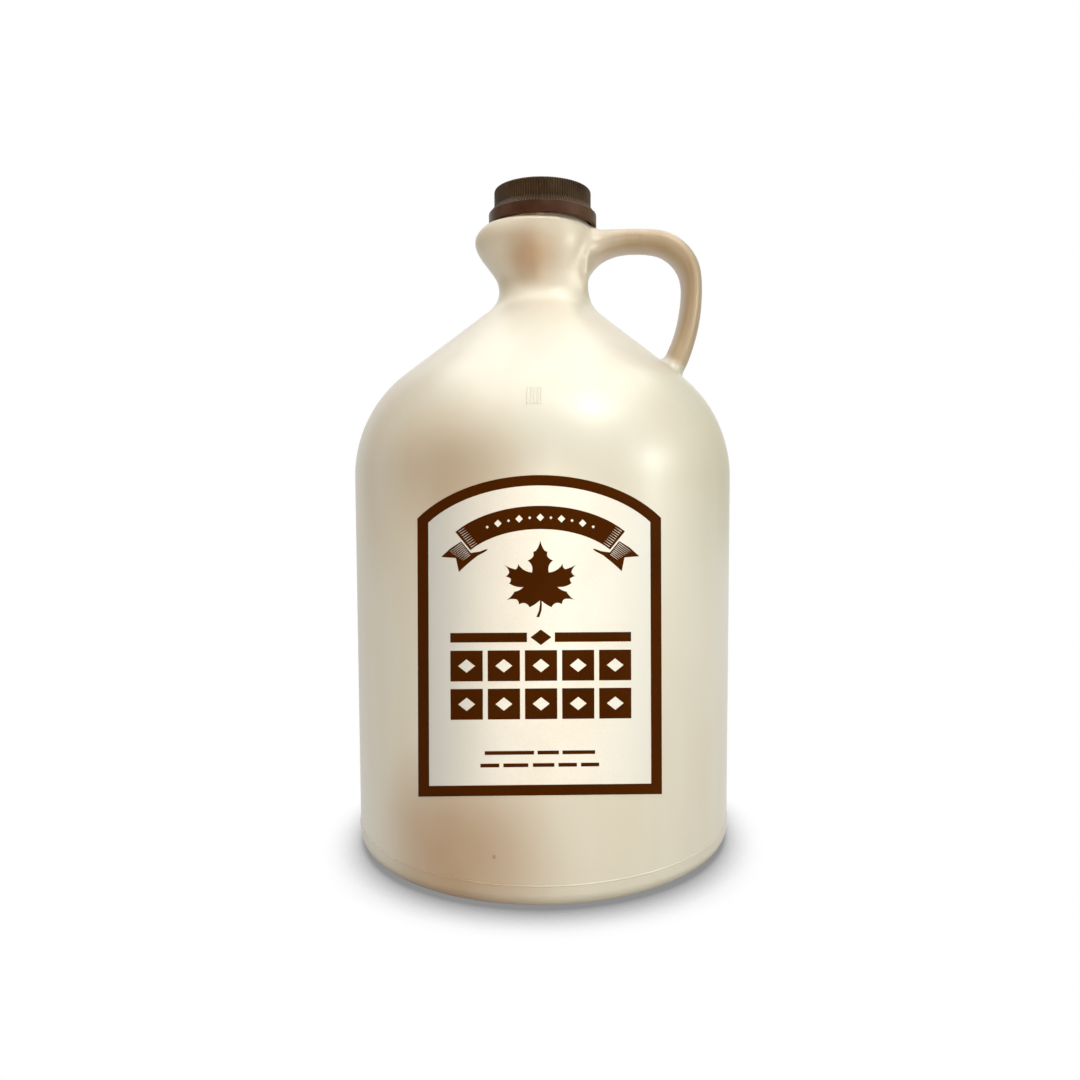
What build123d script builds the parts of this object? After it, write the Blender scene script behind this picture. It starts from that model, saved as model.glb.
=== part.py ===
from build123d import *
import math
import os

# One-gallon round syrup jug with a ring handle, a pouring lip and a shut screw cap.
# Millimetres and degrees. +Z is up, the label faces -Y and the handle is on +X.
# The origin is on the body's axis, on the surface that the jug stands on.

# Body, from the base up to the waist of the neck
body_radius = 80.0
base_corner = 5.5          # rounding between the wall and the base
foot_width = 11.0          # flat ring that the jug stands on
pushup_depth = 3.2         # hollow inside the standing ring
pushup_slope = 9.0         # run from the standing ring up to the hollow's flat
shoulder_start = 154.2     # height where the straight wall ends
shoulder_radius = 54.3
cone_slope = 38.0          # fall of the upper shoulder below level
waist_radius = 18.6
neck_curve = 12.3          # hollow curve from the cone up to the waist

# Thin raised marks that the mould leaves
seam_height = 8.9
seam_bead = 0.3
tick_count = 5
tick_pitch = 1.2
tick_length = 7.3
tick_bead = 0.3
tick_turn = -2.5           # middle of the ticks, degrees from the front
tick_rise = 31.5           # middle of the ticks, degrees up the shoulder's curve

# Collar under the cap, with the pouring lip on -X
collar_radius = 22.2
collar_rise = 25.7         # from the waist to the collar's flat top
collar_edge = 2.0
collar_swell = 0.72        # share of the rise at which the collar reaches its radius
collar_step = 0.08         # how far the collar stands out of the neck at the waist
collar_sink = 3.0          # length of the collar buried under the waist
lip_reach = 28.9           # from the axis to the tip
lip_top_reach = 25.0       # from the axis to the lip's end at the collar's top
lip_crest = 0.76           # share of the rise at which the lip reaches farthest
lip_sharpness = 4.0        # a higher power makes the lip narrower
collar_sections = 11
collar_points = 36

# Neck finish between the collar and the cap, with leaning ratchet teeth
finish_radius = 19.0
finish_sink = 4.0          # length of the finish buried in the collar
tooth_count = 15
tooth_root_radius = 19.6
tooth_height = 0.9
tooth_ring = 2.6           # height of the toothed ring
tooth_lean = 8.0           # turn of a tooth over that height

# Handle, drawn as the outline of its gap and a thickness around it
handle_width = 21.0
handle_reach = 68.4        # from the axis to the outside of the grip
handle_drop = 0.3          # top of the handle below the collar's top
top_thickness = 9.4
leg_thickness = 8.5
leg_foot_thickness = 10.2  # at the leg's buried end
outer_corner = 22.0
gap_corner = 15.0
leg_curve = 66.0           # gap side of the leg, down to the shoulder
leg_turn = 34.0
root_run = 20.2            # length of the flare under the handle, out from the neck
root_turn = 86.0           # part of the flare's quarter turn that shows outside the neck
root_spread = 8.0          # widening of the handle against the neck
root_sharpness = 8         # a higher power keeps the widening nearer to the neck
root_depth = 9.0           # length of the handle buried in the neck
shoulder_blend = 4.0       # fillet where the leg meets the shoulder
grip_sections = 5          # sections along each bend of the handle
grip_points = 16

# Cap, a solid drum with fine ribs that run out over a flare
drum_radius = 20.6
drum_height = 7.2
flare_radius = 22.7
flare_height = 2.7
rib_count = 120
rib_depth = 0.45
rib_end = 0.9              # the ribs fade out over the rounded top edge
cap_edge_steps = 4
dish_depth = 0.5
dish_rim = 2.6
dish_slope = 0.8

# Tamper band, a separate ring under the cap
band_radius = 23.0
band_wall = 1.5
band_height = 5.0
band_gap = 0.7             # open height between the collar's top and the band
band_edge = 0.3

# Label, cut so that its edges look straight to someone who faces the jug.
# Its flat outline lies across the line of sight and is thrown onto the wall.
label_width = 84.2
label_foot = -88.2         # lower edge, from the line of sight
label_shoulder = 7.4       # where the sides end and the arch starts
label_peak = 22.5
label_offset = -1.4
label_arch_width = 100.0   # the arch is the top of an ellipse this wide
label_thickness = 0.25
eye_distance = 377.2       # from the axis to the eye
eye_height = 151.0
eye_tilt = 3.64            # fall of the line of sight


back = 90  # angle from +X to the back


def point(radius, height):
    return Vector(radius, 0, height)


def around(radius, angle, height):
    turn = math.radians(angle)
    return Vector(radius * math.cos(turn), radius * math.sin(turn), height)


def spin(*edges):
    # The seam of the turned surface lies at the back, clear of the handle
    return Rot(0, 0, back) * revolve(make_face(Wire(list(edges))), Axis.Z, 360)


# Points of the body's profile that follow from the sizes above
slope = math.radians(cone_slope)
shoulder_centre = point(body_radius - shoulder_radius, shoulder_start)
cone_foot = shoulder_centre + point(math.sin(slope), math.cos(slope)) * shoulder_radius
cone_head_radius = waist_radius + neck_curve * (1 - math.sin(slope))
cone_head_height = cone_foot.Z + (cone_foot.X - cone_head_radius) * math.tan(slope)
waist_height = cone_head_height + neck_curve * math.cos(slope)
collar_top = waist_height + collar_rise
band_foot = collar_top + band_gap
cap_foot = band_foot + band_height


def make_body():
    half_arc = math.radians((90 - cone_slope) / 2)
    arc_middle = point(math.cos(half_arc), math.sin(half_arc))
    neck_centre = point(waist_radius + neck_curve, waist_height)
    foot_outside = body_radius - base_corner
    foot_inside = foot_outside - foot_width
    hollow_flat = foot_inside - pushup_slope
    corner_cut = base_corner * (1 - math.sqrt(0.5))
    cone_head = point(cone_head_radius, cone_head_height)
    return spin(
        Line(point(0, pushup_depth), point(hollow_flat, pushup_depth)),
        Bezier(
            point(hollow_flat, pushup_depth),
            point(hollow_flat + pushup_slope / 2, pushup_depth),
            point(foot_inside - pushup_slope / 2, 0),
            point(foot_inside, 0),
        ),
        Line(point(foot_inside, 0), point(foot_outside, 0)),
        ThreePointArc(
            point(foot_outside, 0),
            point(body_radius - corner_cut, corner_cut),
            point(body_radius, base_corner),
        ),
        Line(point(body_radius, base_corner), point(body_radius, seam_height - seam_bead)),
        ThreePointArc(
            point(body_radius, seam_height - seam_bead),
            point(body_radius + seam_bead, seam_height),
            point(body_radius, seam_height + seam_bead),
        ),
        Line(point(body_radius, seam_height + seam_bead), point(body_radius, shoulder_start)),
        ThreePointArc(
            point(body_radius, shoulder_start),
            shoulder_centre + arc_middle * shoulder_radius,
            cone_foot,
        ),
        Line(cone_foot, cone_head),
        ThreePointArc(
            cone_head,
            neck_centre - arc_middle * neck_curve,
            point(waist_radius, waist_height),
        ),
        Line(point(waist_radius, waist_height), point(0, waist_height)),
        Line(point(0, waist_height), point(0, pushup_depth)),
    )


def ease(share):
    # from 0 to 1 with level ends
    return share * share * (3 - 2 * share)


def collar_profile(share):
    foot = waist_radius + collar_step
    return foot + (collar_radius - foot) * ease(min(share / collar_swell, 1))


def lip_profile(share):
    foot = waist_radius + collar_step
    if share < lip_crest:
        return foot + (lip_reach - foot) * ease(share / lip_crest)
    past_crest = (share - lip_crest) / (1 - lip_crest)
    return lip_reach - (lip_reach - lip_top_reach) * past_crest**2


def collar_section(share, height):
    round_reach = collar_profile(share)
    lip_extra = lip_profile(share) - round_reach
    outline = []
    for step in range(collar_points):
        angle = back + 360 * step / collar_points
        lip_side = (1 - math.cos(math.radians(angle))) / 2
        reach = round_reach + lip_extra * lip_side**lip_sharpness
        outline.append(around(reach, angle, height))
    return make_face(Wire([Spline(*outline, periodic=True)]))


def make_collar():
    buried = [waist_height - collar_sink, waist_height - collar_sink / 2]
    sections = [collar_section(0, height) for height in buried]
    for level in range(collar_sections):
        share = level / (collar_sections - 1)
        sections.append(collar_section(share, waist_height + collar_rise * share))
    collar = loft(sections)
    rim = collar.edges().group_by(Axis.Z)[-1]
    return fillet(rim, collar_edge)


def grip_section(inner, outer, width=handle_width):
    # Oval across the handle, between a point of the gap and one of the outside
    across = (outer - inner) / 2
    outline = []
    for step in range(grip_points):
        angle = math.radians(360 * step / grip_points)
        sideways = Vector(0, width / 2 * math.sin(angle), 0)
        outline.append(inner + across * (1 + math.cos(angle)) + sideways)
    return make_face(Wire([Spline(*outline, periodic=True)]))


def make_handle():
    top = collar_top - handle_drop
    gap_top = top - top_thickness
    gap_reach = handle_reach - leg_thickness
    gap_centre = point(gap_reach - gap_corner, gap_top - gap_corner)
    outer_centre = point(handle_reach - outer_corner, top - outer_corner)
    leg_centre = point(gap_reach - leg_curve, gap_centre.Z)
    sections = []
    for step in range(grip_sections, 0, -1):
        turn = math.radians(root_turn * step / grip_sections)
        reach = waist_radius + root_run * (1 - math.sin(turn))
        under = waist_height + (gap_top - waist_height) * math.cos(turn)
        width = handle_width + root_spread * math.sin(turn) ** root_sharpness
        if not sections:
            buried = reach - root_depth
            sections.append(grip_section(point(buried, under), point(buried, top), width))
        sections.append(grip_section(point(reach, under), point(reach, top), width))
    for step in range(grip_sections, -1, -1):
        turn = math.radians(90 * step / grip_sections)
        away = point(math.cos(turn), math.sin(turn))
        inner = gap_centre + away * gap_corner
        outer = outer_centre + away * outer_corner
        sections.append(grip_section(inner, outer))
    for step in range(1, grip_sections + 1):
        share = step / grip_sections
        turn = math.radians(leg_turn * share)
        away = point(math.cos(turn), -math.sin(turn))
        inner = leg_centre + away * leg_curve
        thickness = leg_thickness + (leg_foot_thickness - leg_thickness) * share
        sections.append(grip_section(inner, inner + away * thickness))
    return loft(sections)


def toothed_outline(count, shape, height, turn=0):
    # Closed outline from one tooth's radii, repeated around the axis
    corners = []
    for tooth in range(count):
        for step, radius in enumerate(shape):
            angle = 360 / count * (tooth + step / len(shape)) + turn
            corners.append(around(radius, angle, height))
    return make_face(Wire.make_polygon(corners))


def make_finish():
    seat_foot = collar_top - finish_sink
    seat = Rot(0, 0, back) * Cylinder(finish_radius, cap_foot - seat_foot)
    seat = Pos(0, 0, (seat_foot + cap_foot) / 2) * seat
    tip_radius = tooth_root_radius + tooth_height
    ramp = [tooth_root_radius] * 5 + [tip_radius, tip_radius]
    tooth_foot = collar_top - tooth_height
    lower = toothed_outline(tooth_count, ramp, tooth_foot)
    upper = toothed_outline(tooth_count, ramp, tooth_foot + tooth_ring, tooth_lean)
    return seat + loft([lower, upper], ruled=True)


def make_ticks():
    half_span = math.degrees(tick_length / shoulder_radius / 2)
    ends = [tick_rise - half_span, tick_rise, tick_rise + half_span]
    track = [point(math.cos(math.radians(a)), math.sin(math.radians(a))) * shoulder_radius for a in ends]
    path = ThreePointArc(*[shoulder_centre + spot for spot in track])
    bead = sweep(Plane(path @ 0, z_dir=path % 0) * Circle(tick_bead), path=path)
    pitch_turn = math.degrees(tick_pitch / (path @ 0.5).X)
    ticks = []
    for index in range(tick_count):
        turn = tick_turn + pitch_turn * (index - (tick_count - 1) / 2)
        ticks.append(Rot(0, 0, turn - 90) * bead)
    return ticks


def make_jug():
    trunk = make_body() + make_collar()
    handle = make_handle()
    jug = trunk + handle
    leg_foot = new_edges(trunk, handle, combined=jug).filter_by_position(Axis.Z, 0, cone_head_height)
    return fillet(leg_foot, shoulder_blend) + make_finish() + make_ticks()


def cap_level(height, radius, depth):
    valley = radius - depth
    return toothed_outline(rib_count, [radius, radius, valley, valley], height)


def make_cap():
    top = cap_foot + flare_height + drum_height
    levels = [
        cap_level(cap_foot, flare_radius, rib_depth),
        cap_level(cap_foot + flare_height, drum_radius, rib_depth),
    ]
    for step in range(cap_edge_steps + 1):
        turn = math.radians(90 * step / cap_edge_steps)
        depth = rib_depth * (1 - step / (cap_edge_steps + 1))
        radius = drum_radius - rib_end * (1 - math.cos(turn))
        levels.append(cap_level(top - rib_end * (1 - math.sin(turn)), radius, depth))
    drum = loft(levels, ruled=True)
    dish_radius = drum_radius - dish_rim
    dish = spin(
        Line(point(0, top - dish_depth), point(dish_radius - dish_slope, top - dish_depth)),
        Line(point(dish_radius - dish_slope, top - dish_depth), point(dish_radius + dish_slope, top + dish_depth)),
        Line(point(dish_radius + dish_slope, top + dish_depth), point(0, top + dish_depth)),
        Line(point(0, top + dish_depth), point(0, top - dish_depth)),
    )
    return drum - dish


def make_band():
    middle_height = band_foot + band_height / 2
    outside = Cylinder(band_radius, band_height)
    outside = fillet(outside.edges().filter_by(GeomType.CIRCLE), band_edge)
    ring = outside - Cylinder(band_radius - band_wall, band_height)
    return Pos(0, 0, middle_height) * ring


def label_outline(depth):
    # The label's flat outline at a distance in front of the eye, drawn to scale with it
    scale = depth / (eye_distance - body_radius)
    tilt = math.radians(eye_tilt)
    sight = Vector(0, math.cos(tilt), -math.sin(tilt))
    plane = Plane(origin=Vector(0, -eye_distance, eye_height) + sight * depth, x_dir=(1, 0, 0), z_dir=-sight)
    half_width = label_width / 2
    arch_half = label_arch_width / 2
    reach = math.sqrt(1 - (half_width / arch_half) ** 2)
    arch_height = (label_peak - label_shoulder) / (1 - reach)
    side_angle = math.degrees(math.acos(half_width / arch_half))
    foot_left = Vector(label_offset - half_width, label_foot) * scale
    foot_right = Vector(label_offset + half_width, label_foot) * scale
    arch = EllipticalCenterArc(
        Vector(label_offset, label_peak - arch_height) * scale,
        arch_half * scale,
        arch_height * scale,
        side_angle,
        arc_size=180 - 2 * side_angle,
    )
    right, left = arch @ 0, arch @ 1
    outline = Wire([Line(foot_left, foot_right), Line(foot_right, right), arch, Line(left, foot_left)])
    return plane * make_face(outline)


def make_label():
    near = eye_distance - body_radius - 4 * label_thickness
    far = eye_distance - body_radius / 2
    beam = loft([label_outline(near), label_outline(far)], ruled=True)
    skin_height = 2 * waist_height
    skin = Cylinder(body_radius + label_thickness, skin_height) - Cylinder(body_radius, skin_height)
    return skin & beam


os.makedirs("parts", exist_ok=True)
pieces = {
    "jug": make_jug(),
    "cap": make_cap(),
    "tamper_band": make_band(),
    "label": make_label(),
}
for name, piece in pieces.items():
    export_step(piece, f"parts/{name}.step")
    print(name, "volume", round(piece.volume), "box", piece.bounding_box())
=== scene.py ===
import math

import bmesh
import bpy
from mathutils import Matrix, Vector
from mathutils.kdtree import KDTree


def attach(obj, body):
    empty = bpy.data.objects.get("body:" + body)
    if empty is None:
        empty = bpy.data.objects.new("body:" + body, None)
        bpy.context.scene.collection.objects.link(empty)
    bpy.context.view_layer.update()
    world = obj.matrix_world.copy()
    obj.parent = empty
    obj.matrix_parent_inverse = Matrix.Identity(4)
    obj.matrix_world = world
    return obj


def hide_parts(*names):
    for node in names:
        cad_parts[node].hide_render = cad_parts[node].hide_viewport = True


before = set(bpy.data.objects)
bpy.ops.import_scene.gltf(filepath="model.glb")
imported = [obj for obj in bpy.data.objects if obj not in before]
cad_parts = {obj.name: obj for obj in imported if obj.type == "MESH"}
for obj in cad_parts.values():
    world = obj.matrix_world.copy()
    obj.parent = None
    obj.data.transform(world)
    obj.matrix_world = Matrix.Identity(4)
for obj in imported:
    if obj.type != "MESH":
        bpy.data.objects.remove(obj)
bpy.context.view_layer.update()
scene = bpy.context.scene
print("frame loaded:", ", ".join(sorted(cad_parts)))


def linear(red, green, blue):
    # a colour as a paint chart gives it, 0 to 255, made linear for a socket
    parts = []
    for part in (red, green, blue):
        share = part / 255
        parts.append(share / 12.92 if share <= 0.04045 else ((share + 0.055) / 1.055) ** 2.4)
    return (*parts, 1.0)


class Signal:
    # one output socket, so that shader maths reads as a plain expression
    def __init__(self, finish, socket):
        self.finish = finish
        self.socket = socket

    def maths(self, operation, first, second, clamp=False):
        settings = {"operation": operation, "use_clamp": clamp}
        return self.finish.add("ShaderNodeMath", settings, {0: first, 1: second})

    def __add__(self, other):
        return self.maths("ADD", self, other)

    def __sub__(self, other):
        return self.maths("SUBTRACT", self, other)

    def __mul__(self, other):
        return self.maths("MULTIPLY", self, other)

    def __radd__(self, other):
        return self.maths("ADD", other, self)

    def __rsub__(self, other):
        return self.maths("SUBTRACT", other, self)

    def __rmul__(self, other):
        return self.maths("MULTIPLY", other, self)

    def clamped(self):
        return self.maths("ADD", self, 0.0, clamp=True)


class Finish:
    # one node material or world
    def __init__(self, block):
        block.use_nodes = True
        self.block = block
        self.tree = block.node_tree
        self.tree.nodes.clear()

    def add(self, kind, settings=None, sockets=None, output=0):
        # one node: its settings come first, then the values or links of its sockets
        node = self.tree.nodes.new(kind)
        for name, value in (settings or {}).items():
            setattr(node, name, value)
        for name, value in (sockets or {}).items():
            if isinstance(value, Signal):
                self.tree.links.new(value.socket, node.inputs[name])
            else:
                node.inputs[name].default_value = value
        return Signal(self, node.outputs[output]) if len(node.outputs) else None

    def place(self):
        return self.add("ShaderNodeTexCoord", output=3)

    def axis(self, index):
        # 0 across, 1 front to back, 2 upwards
        return self.add("ShaderNodeSeparateXYZ", {}, {"Vector": self.place()}, output=index)

    def stretched(self, scale):
        return self.add("ShaderNodeMapping", {}, {"Vector": self.place(), "Scale": scale})

    def noise(self, vector, scale, detail=2.0):
        sockets = {"Vector": vector, "Scale": scale, "Detail": detail}
        return self.add("ShaderNodeTexNoise", {"noise_dimensions": "3D"}, sockets)

    def ranged(self, value, low, high, toLow=0.0, toHigh=1.0):
        sockets = {"Value": value, 1: low, 2: high, 3: toLow, 4: toHigh}
        return self.add("ShaderNodeMapRange", {"clamp": True, "interpolation_type": "SMOOTHSTEP"}, sockets)

    def blend(self, factor, first, second):
        return self.add("ShaderNodeMix", {"data_type": "RGBA"}, {0: factor, 6: first, 7: second}, output=2)

    def near(self, spot):
        # 1 within a spot's inner radius and 0 past its outer one
        ends = {0: self.place(), 1: spot["at"]}
        gap = self.add("ShaderNodeVectorMath", {"operation": "DISTANCE"}, ends, output=1)
        return 1 - self.ranged(gap, spot["inner"], spot["outer"])

    def bump(self, height, distance, strength):
        return self.add("ShaderNodeBump", {}, {"Height": height, "Distance": distance, "Strength": strength})

    def seenStraight(self):
        # 1 for what the camera sees straight, in a reflection or through glass
        camera, glossy, through = (self.add("ShaderNodeLightPath", output=index) for index in (0, 3, 6))
        return (camera + glossy + through).clamped()

    def principled(self, sockets):
        shader = self.add("ShaderNodeBsdfPrincipled", {}, sockets)
        self.add("ShaderNodeOutputMaterial", {}, {"Surface": shader})
        return self.block


def newFinish(name):
    return Finish(bpy.data.materials.new(name))


fineDetail = 3.0   # octaves of the cloudier noises

jugPlastic = {
    "cream": linear(220, 213, 195),
    "tan": linear(212, 196, 170),
    "emptyCream": linear(214, 205, 185),   # above the syrup, in the neck
    "emptyTan": linear(206, 184, 156),
    "handleCream": linear(192, 169, 138),
    "handleTan": linear(170, 142, 108),
    "handleFrom": 0.016,                   # across, where the neck's colour starts to turn to the handle's
    "handleTo": 0.040,
    "fullShare": 0.45,                     # how far the tan clouds show in the full part and in the neck
    "emptyShare": 0.6,
    "coneHead": (0.02333, 0.22496),        # a point of the cone, radius and height
    "coneSlope": 38.0,
    "emptyFrom": 0.001,                    # distance off the cone
    "emptyTo": 0.006,
    "cloudScale": 14.0,
    "flowScale": (70, 70, 7),              # streaks that run upwards
    "toneMix": (0.7, 0.3),                 # cloud, flow
    "toneRange": (0.35, 0.7),
    "metallic": 0.2,
    "roughness": 0.38,
    "roughnessShifts": (0.06, 0.05, 0.06),   # flow, grain, scratches
    "specular": 0.5,
    "coat": 0.3,
    "coatRoughness": 0.26,
    "syrup": linear(168, 126, 80),         # painted reflection: the brown of the surroundings, laid into the colour
    "syrupMix": (0.6, 0.8),                # an even part, and a part that follows the clouds
    # painted reflection: patches where the brown surroundings at the left front would reflect, on the left
    # shoulder, the lower left and the neck's front
    "syrupSpots": [
        {"at": (-0.0375, -0.0712, 0.1575), "inner": 0.004, "outer": 0.034, "share": 0.38},
        {"at": (-0.0315, -0.0735, 0.0175), "inner": 0.004, "outer": 0.050, "share": 0.80},
        {"at": (-0.0050, -0.0185, 0.2450), "inner": 0.003, "outer": 0.0145, "share": 0.62},
    ],
    "seatShade": linear(176, 138, 100),      # painted shade: the ratchet strip under the tamper band, darkened as the band's shadow
    "seatHeight": 0.2606,
    "seatRadius": 0.0206,
    "seatFade": 0.0006,
    "seatShare": 0.8,
    "speck": linear(120, 92, 60),
    "speckSpot": {"at": (-0.0181, -0.0779, 0.0189), "inner": 0.0004, "outer": 0.0010, "share": 0.45},
    "scuffSpot": {"at": (0.0479, -0.0641, 0.1521), "inner": 0.002, "outer": 0.010},
    "scratchScale": (2600, 900, 1600),
    "grainScale": 1400.0,
    "rippleScale": 60.0,
    "reliefShares": (0.25, 1.1, 1.6),      # grain, ripple, scratches
    "reliefDepth": 0.00006,
    "reliefStrength": 0.9,
}


def makeJugPlastic():
    look = jugPlastic
    f = newFinish("pearlJugPlastic")
    cloud = f.noise(f.place(), look["cloudScale"], fineDetail)
    flow = f.noise(f.stretched(look["flowScale"]), 1.0, fineDetail)
    cloudPart, flowPart = look["toneMix"]
    tone = f.ranged(cloud * cloudPart + flow * flowPart, *look["toneRange"])
    # how far a point stands off the cone, so that the neck and handle read as empty
    flat = f.add("ShaderNodeVectorMath", {"operation": "MULTIPLY"}, {0: f.place(), 1: (1, 1, 0)})
    radius = f.add("ShaderNodeVectorMath", {"operation": "LENGTH"}, {0: flat}, output=1)
    across = f.axis(0)
    height = f.axis(2)
    slope = math.radians(look["coneSlope"])
    headRadius, headHeight = look["coneHead"]
    off = (radius - headRadius) * math.sin(slope) + (height - headHeight) * math.cos(slope)
    empty = f.ranged(off, look["emptyFrom"], look["emptyTo"])
    full = f.blend(tone * look["fullShare"], look["cream"], look["tan"])
    neck = f.blend(tone * look["emptyShare"], look["emptyCream"], look["emptyTan"])
    handle = f.blend(tone, look["handleCream"], look["handleTan"])
    hollow = f.blend(f.ranged(across, look["handleFrom"], look["handleTo"]), neck, handle)
    colour = f.blend(empty, full, hollow)
    evenPart, cloudyPart = look["syrupMix"]
    # painted reflection: each spot turns the colour towards the brown it would reflect
    for spot in look["syrupSpots"]:
        patch = f.near(spot) * (evenPart + cloudyPart * cloud)
        colour = f.blend((patch * spot["share"]).clamped(), colour, look["syrup"])
    # painted shade: the strip just under the tamper band turns darker, as if in the band's shadow
    fade = look["seatFade"]
    seat = f.ranged(height, look["seatHeight"], look["seatHeight"] + fade)
    seat = seat * (1 - f.ranged(radius, look["seatRadius"], look["seatRadius"] + fade))
    colour = f.blend(seat * look["seatShare"], colour, look["seatShade"])
    speck = f.near(look["speckSpot"])
    colour = f.blend(speck * look["speckSpot"]["share"], colour, look["speck"])
    grain = f.noise(f.place(), look["grainScale"])
    ripple = f.noise(f.place(), look["rippleScale"])
    scratches = f.noise(f.stretched(look["scratchScale"]), 1.0, fineDetail)
    scratched = f.near(look["scuffSpot"]) * scratches
    byFlow, byGrain, byScratch = look["roughnessShifts"]
    roughness = look["roughness"] + byFlow * (flow - 0.5) + byGrain * (grain - 0.5) + byScratch * scratched
    grainPart, ripplePart, scratchPart = look["reliefShares"]
    relief = grain * grainPart + ripple * ripplePart + scratched * scratchPart
    return f.principled({
        "Base Color": colour,
        "Roughness": roughness,
        "Metallic": look["metallic"],
        "Specular IOR Level": look["specular"],
        "Coat Weight": look["coat"],
        "Coat Roughness": look["coatRoughness"],
        "Normal": f.bump(relief, look["reliefDepth"], look["reliefStrength"]),
    })


capPlastic = {
    "dark": linear(46, 30, 12),
    "worn": linear(96, 72, 44),
    "roughness": 0.42,
    "specular": 0.2,
    "grainScale": 1500.0,
}
bandPlastic = {
    "dark": linear(58, 30, 12),
    "worn": linear(104, 72, 48),
    "roughness": 0.36,
    "specular": 0.2,
    "grainScale": 1200.0,
}
capWear = {
    "cloudScale": 90.0,
    "cloudRange": (0.35, 0.7),
    "cloudShare": 0.35,
    "edgeRange": (0.5, 0.62),
    "edgeShare": 0.55,
    "roughnessShifts": (0.12, 0.05),   # grain, cloud
    "grainDepth": 0.00005,
    "grainStrength": 0.6,
}


def makeCapPlastic(name, look):
    f = newFinish(name)
    cloud = f.noise(f.place(), capWear["cloudScale"], fineDetail)
    grain = f.noise(f.place(), look["grainScale"])
    edge = f.add("ShaderNodeNewGeometry", output=7)   # pointiness: the ribs' edges are worn paler
    faded = f.ranged(cloud, *capWear["cloudRange"])
    rubbed = f.ranged(edge, *capWear["edgeRange"])
    wear = (capWear["cloudShare"] * faded + capWear["edgeShare"] * rubbed).clamped()
    byGrain, byCloud = capWear["roughnessShifts"]
    return f.principled({
        "Base Color": f.blend(wear, look["dark"], look["worn"]),
        "Roughness": look["roughness"] + byGrain * (grain - 0.5) + byCloud * (cloud - 0.5),
        "Specular IOR Level": look["specular"],
        "Normal": f.bump(grain, capWear["grainDepth"], capWear["grainStrength"]),
    })


labelFilm = {
    "main": linear(250, 243, 229),
    "second": linear(243, 233, 215),
    "sides": [                             # painted shade: the film darkens towards the label's left and right edges, where the light falls off round the wall
        {"from": -0.010, "to": -0.046, "colour": linear(207, 206, 199)},
        {"from": 0.012, "to": 0.042, "colour": linear(230, 225, 213)},
    ],
    "roughness": 0.5,
    "specular": 0.4,
    "metallic": 0.2,
}
labelInk = {
    "main": linear(72, 32, 0),
    "second": linear(64, 27, 0),
    "sides": [],
    "roughness": 0.6,
    "specular": 0.03,
    "metallic": 0.0,
}
labelGrain = {
    "cloudScale": 40.0,
    "fibreScale": 1800.0,
    "toneMix": (0.6, 0.4),   # cloud, fibre
    "toneRange": (0.35, 0.7),
    "roughnessShift": 0.08,
    "fibreDepth": 0.00003,
    "fibreStrength": 0.5,
}


def makeLabelFinish(name, look):
    f = newFinish(name)
    cloud = f.noise(f.place(), labelGrain["cloudScale"], fineDetail)
    fibre = f.noise(f.place(), labelGrain["fibreScale"])
    cloudPart, fibrePart = labelGrain["toneMix"]
    tone = f.ranged(cloud * cloudPart + fibre * fibrePart, *labelGrain["toneRange"])
    colour = f.blend(tone, look["main"], look["second"])
    # painted shade: towards the label's left and right edges the film turns darker
    for side in look["sides"]:
        share = f.ranged(f.axis(0), *sorted((side["from"], side["to"])))
        if side["to"] < side["from"]:
            share = 1 - share
        colour = f.blend(share, colour, side["colour"])
    return f.principled({
        "Base Color": colour,
        "Roughness": look["roughness"] + labelGrain["roughnessShift"] * (fibre - 0.5),
        "Metallic": look["metallic"],
        "Specular IOR Level": look["specular"],
        "Normal": f.bump(fibre, labelGrain["fibreDepth"], labelGrain["fibreStrength"]),
    })


finishes = {
    "jug": makeJugPlastic(),
    "cap": makeCapPlastic("ribbedCapPlastic", capPlastic),
    "band": makeCapPlastic("tamperBandPlastic", bandPlastic),
    "film": makeLabelFinish("labelFilm", labelFilm),
    "ink": makeLabelFinish("labelInk", labelInk),
}
print("finishes made:", len(finishes))


# Moulded pieces, carried over from the frame. Edges under the crease angle shade smoothly.
mouldedPieces = {
    "jug": {"name": "jugShell", "finish": "jug", "slot": "jug_plastic", "crease": 24},
    "cap": {"name": "screwCap", "finish": "cap", "slot": "cap_plastic", "crease": 30},
    "tamper_band": {"name": "tamperRing", "finish": "band", "slot": "band_plastic", "crease": 30},
    "label": {"name": "labelSheet", "finish": "film", "slot": "label_face", "crease": 30},
}


def finishPiece(piece, finish):
    piece.data.materials.clear()
    piece.data.materials.append(finishes[finish])
    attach(piece, "root")


def addObject(name, bm, mesh=None):
    # a finished bmesh becomes an object in the scene, with its place in its mesh
    mesh = mesh or bpy.data.meshes.new(name)
    bm.to_mesh(mesh)
    bm.free()
    made = bpy.data.objects.new(name, mesh)
    scene.collection.objects.link(made)
    return made


# The handle's root and the waist flow into the neck without an edge.
joinPlan = {
    "creaseAngle": 16,
    "rootFrom": (0.006, 0.228),     # the root's crease lies past this x and above this height
    "rootTo": 0.2598,
    "rootReach": 0.030,             # and short of this x
    "rimHeight": 0.2570,            # the collar's own rim keeps its edge
    "rimReach": 0.0150,
    "waistHeight": 0.2336,
    "waistRadius": 0.0187,
    "waistSpots": 90,
    "longestEdge": 0.0013,
    "shortestEdge": 0.0004,
    "reachMargin": 0.001,
    "meshRounds": 5,                # cutting and merging until the mesh is even
    "settleRounds": 2,
    "evenRounds": 6,
    "bands": [(0.0100, 44), (0.0080, 50), (0.0055, 60)],   # reach from the crease, rounds of smoothing
    "waistBands": [(0.0050, 16), (0.0035, 16)],
}


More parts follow.
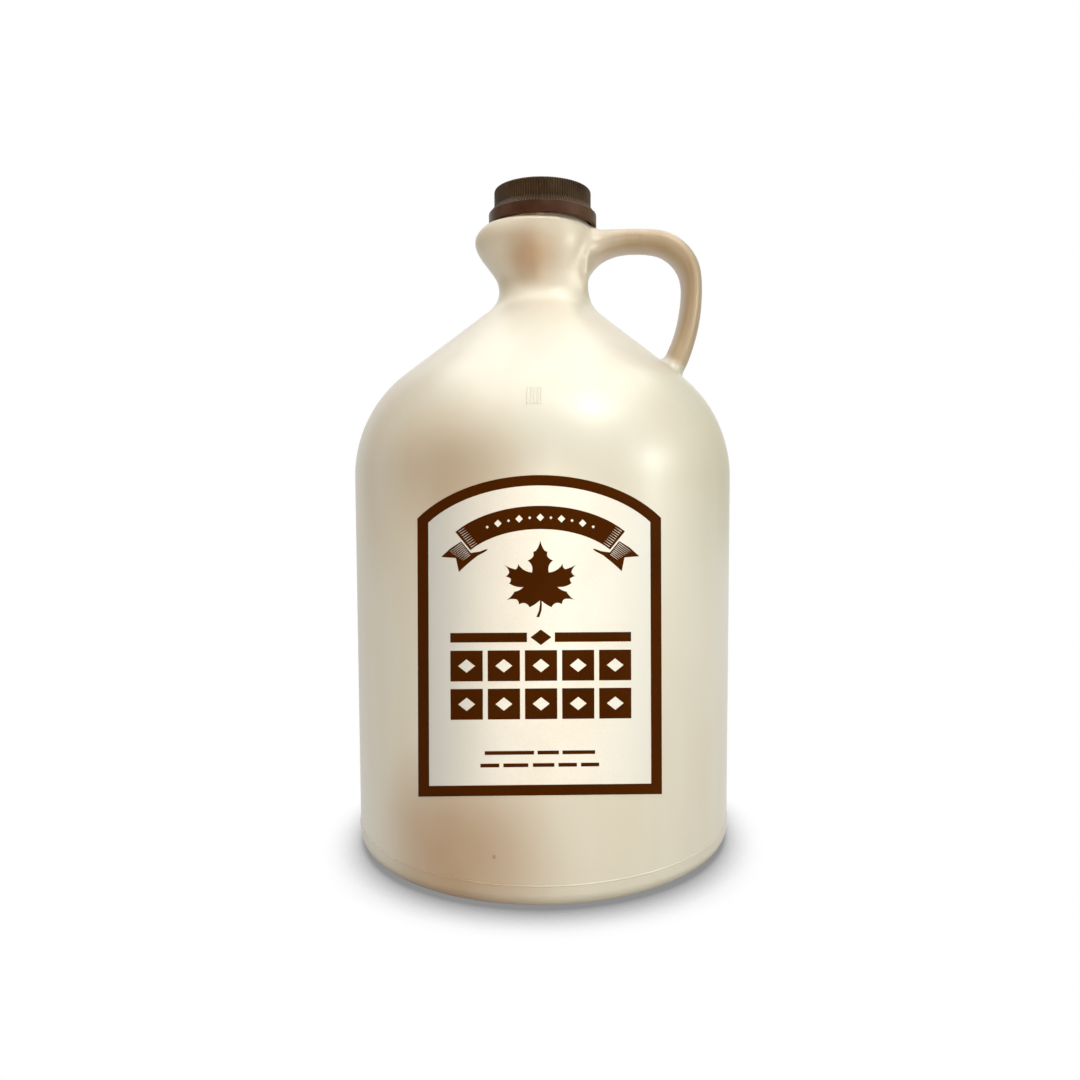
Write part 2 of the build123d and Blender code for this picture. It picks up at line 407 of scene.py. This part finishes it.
def nearTree(spots):
    tree = KDTree(len(spots))
    for index, spot in enumerate(spots):
        tree.insert(spot, index)
    tree.balance()
    return tree


def smoothOut(bm, verts, rounds):
    for _ in range(rounds):
        bmesh.ops.smooth_vert(bm, verts=verts, factor=0.5, use_axis_x=True, use_axis_y=True, use_axis_z=True)


def softenAlong(bm, spots, bands):
    tree = nearTree(spots)
    reach = bands[0][0] + joinPlan["reachMargin"]

    def within(spot, limit):
        return tree.find(spot)[2] < limit

    def vertsWithin(limit):
        return [vert for vert in bm.verts if within(vert.co, limit)]

    for _ in range(joinPlan["meshRounds"]):
        cut = []
        for edge in bm.edges:
            if edge.calc_length() > joinPlan["longestEdge"]:
                first, second = (vert.co for vert in edge.verts)
                if any(within(spot, reach) for spot in (first, second, (first + second) / 2)):
                    cut.append(edge)
        if cut:
            bmesh.ops.subdivide_edges(bm, edges=cut, cuts=1)
            bmesh.ops.triangulate(bm, faces=[face for face in bm.faces if len(face.verts) > 3])
        bmesh.ops.remove_doubles(bm, verts=vertsWithin(reach), dist=joinPlan["shortestEdge"])
        inside = set(vertsWithin(reach))
        faces = [face for face in bm.faces if all(vert in inside for vert in face.verts)]
        chosen = set(faces)
        edges = []
        for edge in bm.edges:
            if edge.link_faces and all(face in chosen for face in edge.link_faces):
                edges.append(edge)
        bmesh.ops.beautify_fill(bm, faces=faces, edges=edges, method="AREA")
        smoothOut(bm, vertsWithin(bands[-1][0]), joinPlan["settleRounds"])
    bm.normal_update()
    before = [(vert, vert.co.copy(), vert.normal.copy()) for vert in vertsWithin(reach)]
    for limit, rounds in bands:
        smoothOut(bm, vertsWithin(limit), rounds)
    # corners that the smoothing drew inwards go back, before a last light evening;
    # that evening and the waist's own pass still take a little off
    for vert, spot, normal in before:
        if (vert.co - spot).dot(normal) < 0:
            vert.co = spot
    verts = [vert for vert, _, _ in before if within(vert.co, bands[0][0])]
    smoothOut(bm, verts, joinPlan["evenRounds"])


def softenJoins(bm):
    plan = joinPlan
    limit = math.radians(plan["creaseAngle"])
    low, floor = plan["rootFrom"]
    spots = []
    for edge in bm.edges:
        first, second = (vert.co for vert in edge.verts)
        across = min(first.x, second.x) > low and first.x < plan["rootReach"]
        inside = across and floor < first.z < plan["rootTo"]
        rim = max(first.z, second.z) > plan["rimHeight"] and first.x < plan["rimReach"]
        if inside and not rim and edge.calc_face_angle(0.0) > limit:
            count = max(1, math.ceil(edge.calc_length() / plan["longestEdge"]))
            spots += [first.lerp(second, step / count) for step in range(count + 1)]
    print("root crease points:", len(spots))
    softenAlong(bm, spots, plan["bands"])
    ring = []
    radius = plan["waistRadius"]
    for step in range(plan["waistSpots"]):
        turn = 2 * math.pi * step / plan["waistSpots"]
        ring.append(Vector((radius * math.cos(turn), radius * math.sin(turn), plan["waistHeight"])))
    softenAlong(bm, ring, plan["waistBands"])


weldGap = 0.000002   # corners nearer than this become one


def carryOver(node, look):
    # a welded copy of the node, so that its curved faces shade smoothly
    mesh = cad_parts[node].data.copy()
    bm = bmesh.new()
    bm.from_mesh(mesh)
    bmesh.ops.remove_doubles(bm, verts=bm.verts, dist=weldGap)
    if node == "jug":
        softenJoins(bm)
    limit = math.radians(look["crease"])
    for face in bm.faces:
        face.smooth = True
    for edge in bm.edges:
        edge.smooth = len(edge.link_faces) == 2 and edge.calc_face_angle(0.0) < limit
    piece = addObject(look["name"], bm, mesh)
    oldShading = mesh.attributes.get("custom_normal")
    if oldShading:
        mesh.attributes.remove(oldShading)
    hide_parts(node)
    finishPiece(piece, look["finish"])


for node, look in mouldedPieces.items():
    carryOver(node, look)
print("moulded pieces carried over:", len(mouldedPieces))


# The print is drawn flat, in millimetres from the line of sight of someone who faces
# the jug, and thrown onto the wall, so that its edges look straight from there.
printPlan = {
    "eyeBack": 377.2,
    "eyeHeight": 151.0,
    "eyeTilt": 3.64,
    "wallRadius": 80.0,
    "layers": {             # off the wall; the label's own face stands 0.25 off it
        "dark": {"finish": "ink", "slot": "label_print", "lift": 0.252, "thickness": 0.006},
        "pale": {"finish": "film", "slot": "label_face", "lift": 0.2586, "thickness": 0.005},
    },
    "stripWidth": 1.6,
    "stripHeight": 12.0,
    "cutGap": 0.0001,
    "metresEach": 0.001,
}


def throwOnWall(spot, lift):
    plan = printPlan
    tilt = math.radians(plan["eyeTilt"])
    planeDepth = plan["eyeBack"] - plan["wallRadius"]
    radius = plan["wallRadius"] + lift
    across = spot.x
    ahead = planeDepth * math.cos(tilt) + spot.y * math.sin(tilt)
    up = -planeDepth * math.sin(tilt) + spot.y * math.cos(tilt)
    # where the line of sight first meets the wall, seen from above as a circle
    a = across**2 + ahead**2
    b = plan["eyeBack"] * ahead
    c = plan["eyeBack"] ** 2 - radius**2
    reach = (b - math.sqrt(b * b - a * c)) / a
    place = Vector((reach * across, reach * ahead - plan["eyeBack"], plan["eyeHeight"] + reach * up))
    return place * plan["metresEach"]


def cutStrips(bm):
    # narrow strips let the flat print bend round the wall
    for axis, width in ((0, printPlan["stripWidth"]), (1, printPlan["stripHeight"])):
        low = min(v.co[axis] for v in bm.verts)
        high = max(v.co[axis] for v in bm.verts)
        normal = Vector((1, 0, 0)) if axis == 0 else Vector((0, 1, 0))
        for step in range(math.floor(low / width) + 1, math.ceil(high / width)):
            parts = bm.verts[:] + bm.edges[:] + bm.faces[:]
            place = normal * step * width
            bmesh.ops.bisect_plane(bm, geom=parts, dist=printPlan["cutGap"], plane_co=place, plane_no=normal)


def layOnLabel(name, bm, layer):
    look = printPlan["layers"][layer]
    bm.normal_update()
    bmesh.ops.triangulate(bm, faces=bm.faces[:])
    cutStrips(bm)
    grown = bmesh.ops.extrude_face_region(bm, geom=bm.faces[:], use_keep_orig=True)
    top = [part for part in grown["geom"] if isinstance(part, bmesh.types.BMVert)]
    bmesh.ops.translate(bm, verts=top, vec=(0, 0, 1))
    for vert in bm.verts:
        vert.co = throwOnWall(vert.co, look["lift"] + look["thickness"] * vert.co.z)
    bmesh.ops.recalc_face_normals(bm, faces=bm.faces[:])
    finishPiece(addObject(name, bm), look["finish"])


def addField(bm, outline):
    bm.faces.new([bm.verts.new((x, y, 0)) for x, y in outline])


def addBar(bm, left, right, low, high):
    addField(bm, [(left, low), (right, low), (right, high), (left, high)])


def addLozenge(bm, x, y, halfWidth, halfHeight):
    addField(bm, [(x - halfWidth, y), (x, y - halfHeight), (x + halfWidth, y), (x, y + halfHeight)])


def ellipseHeight(x, middle, crown, halfWidth, halfHeight):
    return crown - halfHeight * (1 - math.sqrt(1 - ((x - middle) / halfWidth) ** 2))


framePlan = {
    "middle": -1.4,
    "outer": {"half": 42.05, "foot": -88.15, "crown": 22.45, "arch": (49.95, 32.35)},
    "inner": {"half": 38.3, "foot": -84.45, "crown": 18.85, "arch": (46.1, 28.75)},
    "steps": 40,
}


def frameLoop(bm, size):
    middle = framePlan["middle"]
    spots = [(middle + size["half"], size["foot"]), (middle - size["half"], size["foot"])]
    for step in range(framePlan["steps"] + 1):
        x = middle + size["half"] * (2 * step / framePlan["steps"] - 1)
        spots.append((x, ellipseHeight(x, middle, size["crown"], *size["arch"])))
    verts = [bm.verts.new((x, y, 0)) for x, y in spots]
    return [bm.edges.new((a, b)) for a, b in zip(verts, verts[1:] + verts[:1])]


def makeFrame():
    bm = bmesh.new()
    edges = frameLoop(bm, framePlan["outer"]) + frameLoop(bm, framePlan["inner"])
    bmesh.ops.bridge_loops(bm, edges=edges)
    layOnLabel("labelFrame", bm, "dark")


ribbonPlan = {
    "middle": -1.17,
    "top": {"half": 29.27, "crown": 11.84, "arch": (36.0, 21.4)},
    "bottom": {"half": 24.1, "crown": 3.8, "arch": (30.0, 17.8)},
    "steps": 28,
    "tail": [                        # outline of one tail, outwards from the ribbon's middle line
        (27.25, -0.4), (30.9, -2.7), (34.2, -5.7), (29.1, -6.1), (28.1, -10.9), (26.2, -9.1), (24.0, -7.2),
        (21.6, -5.3), (19.1, -4.0), (18.2, -3.3), (18.5, -3.0), (21.0, -3.9), (24.0, -4.35),
    ],
    "tailLineFrom": [(27.2, -1.0), (24.2, -5.0)],
    "tailLineAlong": (0.80, -0.60),
    "tailLineLength": (5.0, 3.2),
    "tailLines": 9,
    "endLines": 9,
    "endLineLength": 2.5,
    "endLineShares": (0.09, 0.91),   # from the ribbon's bottom edge to its top
    "endLineSides": (0.975, 0.87),   # along the ribbon, start and direction
    "lineWidth": 0.2,
    "lineTaper": 0.3,
    "ornaments": 5,                  # on each side of the middle one
    "ornamentPitch": 0.137,
    "ornamentSizes": (1.3, 0.55),
}


def ribbonSpot(side, share):
    # a point on the ribbon: side from -1 to 1 along it, share from the bottom edge to the top
    spots = []
    for edge in (ribbonPlan["bottom"], ribbonPlan["top"]):
        x = ribbonPlan["middle"] + edge["half"] * side
        spots.append(Vector((x, ellipseHeight(x, ribbonPlan["middle"], edge["crown"], *edge["arch"]))))
    return spots[0].lerp(spots[1], share)


def addLine(bm, start, end, width):
    # a fine line that narrows towards its end
    along = (end - start).normalized()
    side = Vector((-along.y, along.x)) * width / 2
    tip = side * ribbonPlan["lineTaper"]
    addField(bm, [start - side, end - tip, end + tip, start + side])


def makeRibbon():
    plan = ribbonPlan
    steps = plan["steps"]
    bm = bmesh.new()
    lower = [ribbonSpot(2 * step / steps - 1, 0) for step in range(steps + 1)]
    upper = [ribbonSpot(1 - 2 * step / steps, 1) for step in range(steps + 1)]
    addField(bm, lower + upper)
    for hand in (-1, 1):
        addField(bm, [(plan["middle"] + hand * x, y) for x, y in plan["tail"]])
    layOnLabel("labelRibbon", bm, "dark")


def makeRibbonLines():
    plan = ribbonPlan
    bm = bmesh.new()
    lowShare, highShare = plan["endLineShares"]
    outerSide, innerSide = plan["endLineSides"]
    first, last = (Vector(spot) for spot in plan["tailLineFrom"])
    longest, shortest = plan["tailLineLength"]
    for hand in (-1, 1):
        for index in range(plan["endLines"]):
            share = lowShare + (highShare - lowShare) * index / (plan["endLines"] - 1)
            start = ribbonSpot(hand * outerSide, share)
            inward = ribbonSpot(hand * innerSide, share) - start
            addLine(bm, start, start + inward.normalized() * plan["endLineLength"], plan["lineWidth"])
        for index in range(plan["tailLines"]):
            share = index / (plan["tailLines"] - 1)
            start = first.lerp(last, share)
            end = start + Vector(plan["tailLineAlong"]) * (longest + (shortest - longest) * share)
            for spot in (start, end):
                spot.x = plan["middle"] + hand * spot.x
            addLine(bm, start, end, plan["lineWidth"])
    # plain ornament along the ribbon's middle
    for index in range(-plan["ornaments"], plan["ornaments"] + 1):
        spot = ribbonSpot(index * plan["ornamentPitch"], 0.5)
        size = plan["ornamentSizes"][index % 2]
        addLozenge(bm, spot.x, spot.y, size, size)
    layOnLabel("ribbonLines", bm, "pale")


# Half a leaf's outline, its tips and bays from the top round to the foot, and how far each stretch sags.
leafPlan = {
    "foot": (-1.2, -20.9),
    "tips": [
        (0.0, 20.9), (1.2, 17.7), (2.5, 16.9), (2.5, 15.2), (4.4, 13.9), (2.9, 9.7), (7.7, 12.7),
        (8.5, 10.8), (12.8, 12.7), (10.7, 9.9), (12.0, 8.4), (10.2, 7.6), (10.8, 6.0), (5.9, 4.7),
        (9.0, 3.1), (11.8, 0.2), (8.3, 0.5), (7.5, -1.3), (5.6, -0.8), (3.8, -2.3), (0.0, 0.3),
    ],
    "bays": [
        0.2, 0.2, 0.15, 0.2, 0.75, 0.7, 0.3, 0.25, 0.3, 0.2,
        0.1, 0.2, -0.5, 0.3, 0.3, 0.25, 0.3, 0.15, 0.3, -0.2,
    ],
    "baySteps": 5,
    "stem": [(0.05, 0.9), (0.15, -1.2), (-0.1, -3.4), (-0.95, -5.7)],
    "stemWidth": (0.55, 1.05),
}


def bayCurve(start, end, sag, steps):
    # the stretch between two points of the outline, drawn in towards the leaf
    along = end - start
    inward = Vector((along.y, -along.x)).normalized()
    control = (start + end) / 2 + inward * sag * 2
    curve = []
    for step in range(steps):
        share = step / steps
        curve.append(start.lerp(control, share).lerp(control.lerp(end, share), share))
    return curve


def makeLeaf():
    plan = leafPlan
    foot = Vector(plan["foot"])
    tips = [Vector(tip) for tip in plan["tips"]]
    right = []
    for start, end, sag in zip(tips, tips[1:], plan["bays"]):
        right += bayCurve(start, end, sag, plan["baySteps"])
    right.append(tips[-1])
    left = [Vector((-spot.x, spot.y)) for spot in reversed(right[1:-1])]
    bm = bmesh.new()
    addField(bm, [foot + spot for spot in right + left])
    line = [Vector(spot) for spot in plan["stem"]]
    near, far = plan["stemWidth"]
    widths = [near + (far - near) * index / (len(line) - 1) for index in range(len(line))]
    rightSide = [foot + spot + Vector((width / 2, 0)) for spot, width in zip(line, widths)]
    leftSide = [foot + spot - Vector((width / 2, 0)) for spot, width in zip(line, widths)]
    addField(bm, rightSide + leftSide[::-1])
    layOnLabel("labelLeaf", bm, "dark")


rulePlan = {
    "middle": -1.1,
    "half": 31.2,
    "upper": {"low": -35.2, "high": -31.9, "gap": 4.8, "lozenge": (3.6, 2.7)},
    "rows": [(-48.6, -38.0), (-61.8, -51.2)],
    "tiles": 5,
    "tileGap": 1.7,
    "eye": (2.9, 2.3),       # half width and height of the pale lozenge in each tile
    "smallRows": [
        (-74.0, -72.7, [(-20.6, -3.6), (-2.4, 5.0), (6.2, 17.5)]),
        (-78.3, -77.0, [(-22.1, -15.6), (-14.2, -5.6), (-4.0, 3.4), (4.8, 11.2), (12.6, 18.9)]),
    ],
}


def makeRules():
    plan = rulePlan
    middle = plan["middle"]
    upper = plan["upper"]
    left, right = middle - plan["half"], middle + plan["half"]
    dark = bmesh.new()
    pale = bmesh.new()
    addBar(dark, left, middle - upper["gap"], upper["low"], upper["high"])
    addBar(dark, middle + upper["gap"], right, upper["low"], upper["high"])
    addLozenge(dark, middle, (upper["low"] + upper["high"]) / 2, *upper["lozenge"])
    pitch = (2 * plan["half"] + plan["tileGap"]) / plan["tiles"]
    for low, high in plan["rows"]:
        for index in range(plan["tiles"]):
            start = left + index * pitch
            end = start + pitch - plan["tileGap"]
            addBar(dark, start, end, low, high)
            addLozenge(pale, (start + end) / 2, (low + high) / 2, *plan["eye"])
    for low, high, dashes in plan["smallRows"]:
        for start, end in dashes:
            addBar(dark, start, end, low, high)
    layOnLabel("labelRules", dark, "dark")
    layOnLabel("tileEyes", pale, "pale")


makeFrame()
makeRibbon()
makeRibbonLines()
makeLeaf()
makeRules()
print("label print laid on")


studio = {
    "target": (0, 0, 0.14),
    "worldLight": 0.21,
    "floor": {
        "half": 6.0,
        "colour": linear(176, 168, 152),
        "contactReach": 0.034,      # how far the jug's soft contact shadow spreads
        "contactSamples": 16,
        "contactDark": 0.27,
        "contactFrom": 0.36,
        "contactTo": 0.765,
        "contactFront": 0.10,       # how much further it spreads in front
        "frontFrom": -0.085,
        "frontTo": 0.0,
    },
    "lamps": {
        "overhead": {
            "at": (0.05, 0.0, 1.05),
            "size": (1.3, 1.3),
            "power": 6.0,
            "tint": (0.985, 0.985, 0.95),
        },
        "window": {
            "at": (0.40, -0.50, 0.95),
            "size": (0.26, 0.30),
            "power": 1.3,
            "tint": (0.87, 1, 1.03),
        },
        "sideWindow": {
            "at": (0.88, -0.42, 0.32),
            "size": (0.2, 0.26),
            "power": 1.1,
            "tint": (0.86, 1, 1.06),
        },
        "rightFill": {
            "at": (0.85, -0.05, 0.70),
            "size": (0.6, 0.6),
            "power": 2.4,
            "tint": (0.94, 1, 0.94),
            "plain": True,          # lights, but shows in no reflection
        },
        "leftFill": {
            "at": (-0.75, -0.15, 0.75),
            "size": (0.5, 0.5),
            "power": 2.45,
            "tint": (1, 0.92, 0.84),
            "plain": True,
        },
        "frontSoft": {
            "at": (0.03, -0.48, 0.13),
            "size": (0.14, 0.2),
            "power": 1.03,
            "tint": (1, 0.99, 0.96),
            "plain": True,
        },
        "neckSoft": {
            "at": (0.0, -0.30, 0.62),
            "size": (0.08, 0.08),
            "power": 0.0075,
            "tint": (1, 0.98, 0.96),
            "plain": True,
            "spread": 12.0,
            "target": (0, -0.032, 0.224),
        },
    },
    # cards show only in the gloss
    "cards": {
        "brownCard": {"at": (-0.42, -0.58, 0.29), "size": (0.80, 0.50), "colour": (0.34, 0.19, 0.085, 1)},
        "leftCard": {"at": (-0.76, 0.16, 0.46), "size": (0.9, 0.84), "colour": (0.64, 0.58, 0.50, 1)},
        "rightCard": {"at": (0.72, 0.40, 0.46), "size": (1.0, 0.84), "colour": (0.58, 0.58, 0.46, 1)},
    },
}


def aimAt(place, target):
    # turns an object's -Z towards the target
    turn = (Vector(target) - Vector(place)).to_track_quat("-Z", "Y")
    return Matrix.Translation(place) @ turn.to_matrix().to_4x4()


def makeLamp(name, look):
    data = bpy.data.lights.new(name, "AREA")
    data.shape = "RECTANGLE"
    data.size, data.size_y = look["size"]
    data.energy = look["power"]
    data.color = look["tint"]
    data.spread = math.radians(look.get("spread", 180))
    lamp = bpy.data.objects.new(name, data)
    lamp.matrix_world = aimAt(look["at"], look.get("target", studio["target"]))
    lamp.visible_camera = False
    lamp.visible_glossy = not look.get("plain", False)
    scene.collection.objects.link(lamp)


def makeCard(name, look):
    bm = bmesh.new()
    bmesh.ops.create_grid(bm, x_segments=1, y_segments=1, size=0.5)
    bmesh.ops.scale(bm, vec=(*look["size"], 1), verts=bm.verts)
    bmesh.ops.transform(bm, matrix=aimAt(look["at"], studio["target"]), verts=bm.verts)
    card = addObject(name, bm)
    f = newFinish(name)
    glow = f.add("ShaderNodeEmission", {}, {"Color": look["colour"], "Strength": 1.0})
    f.add("ShaderNodeOutputMaterial", {}, {"Surface": glow})
    card.data.materials.append(f.block)
    card.visible_camera = False
    card.visible_diffuse = False


def makeFloor():
    look = studio["floor"]
    bm = bmesh.new()
    bmesh.ops.create_grid(bm, x_segments=1, y_segments=1, size=look["half"])
    floor = addObject("studioFloor", bm)
    f = newFinish("studioFloor")
    settings = {"samples": look["contactSamples"]}
    openness = f.add("ShaderNodeAmbientOcclusion", settings, {"Distance": look["contactReach"]}, output=1)
    front = f.ranged(f.axis(1), look["frontFrom"], look["frontTo"], look["contactFront"], 0.0)
    light = f.ranged(openness - front, look["contactFrom"], look["contactTo"], look["contactDark"], 1.0)
    white = f.add("ShaderNodeEmission", {}, {"Strength": light})
    matte = f.add("ShaderNodeBsdfDiffuse", {}, {"Color": look["colour"]})
    both = f.add("ShaderNodeMixShader", {}, {0: f.seenStraight(), 1: matte, 2: white})
    f.add("ShaderNodeOutputMaterial", {}, {"Surface": both})
    floor.data.materials.append(f.block)


def makeWorld():
    world = bpy.data.worlds.new("studioWorld")
    scene.world = world
    f = Finish(world)
    light = f.add("ShaderNodeBackground", {}, {"Color": (1, 1, 1, 1), "Strength": studio["worldLight"]})
    white = f.add("ShaderNodeBackground", {}, {"Color": (1, 1, 1, 1), "Strength": 1.0})
    both = f.add("ShaderNodeMixShader", {}, {0: f.seenStraight(), 1: light, 2: white})
    f.add("ShaderNodeOutputWorld", {}, {"Surface": both})


for name, look in studio["lamps"].items():
    makeLamp(name, look)
for name, look in studio["cards"].items():
    makeCard(name, look)
makeFloor()
makeWorld()
print("studio set")

cameraPlan = {
    "at": (0, -0.3772, 0.1510),
    "yaw": 1.449,      # degrees to the right
    "pitch": 3.64,     # degrees down
    "roll": -0.106,
    "lens": 28.69,
    "sensor": 36.0,
    "shift": -0.0236,
    "clip": (0.01, 50.0),
}


def makeCamera():
    plan = cameraPlan
    data = bpy.data.cameras.new("camera")
    data.lens = plan["lens"]
    data.sensor_width = plan["sensor"]
    data.shift_x = plan["shift"]
    data.clip_start, data.clip_end = plan["clip"]
    camera = bpy.data.objects.new("camera", data)
    turn = Matrix.Rotation(math.radians(-plan["yaw"]), 4, "Z")
    nod = Matrix.Rotation(math.radians(90 - plan["pitch"]), 4, "X")
    roll = Matrix.Rotation(math.radians(plan["roll"]), 4, "Z")
    camera.matrix_world = Matrix.Translation(plan["at"]) @ turn @ nod @ roll
    scene.collection.objects.link(camera)
    scene.camera = camera


makeCamera()
scene.view_settings.view_transform = "Standard"
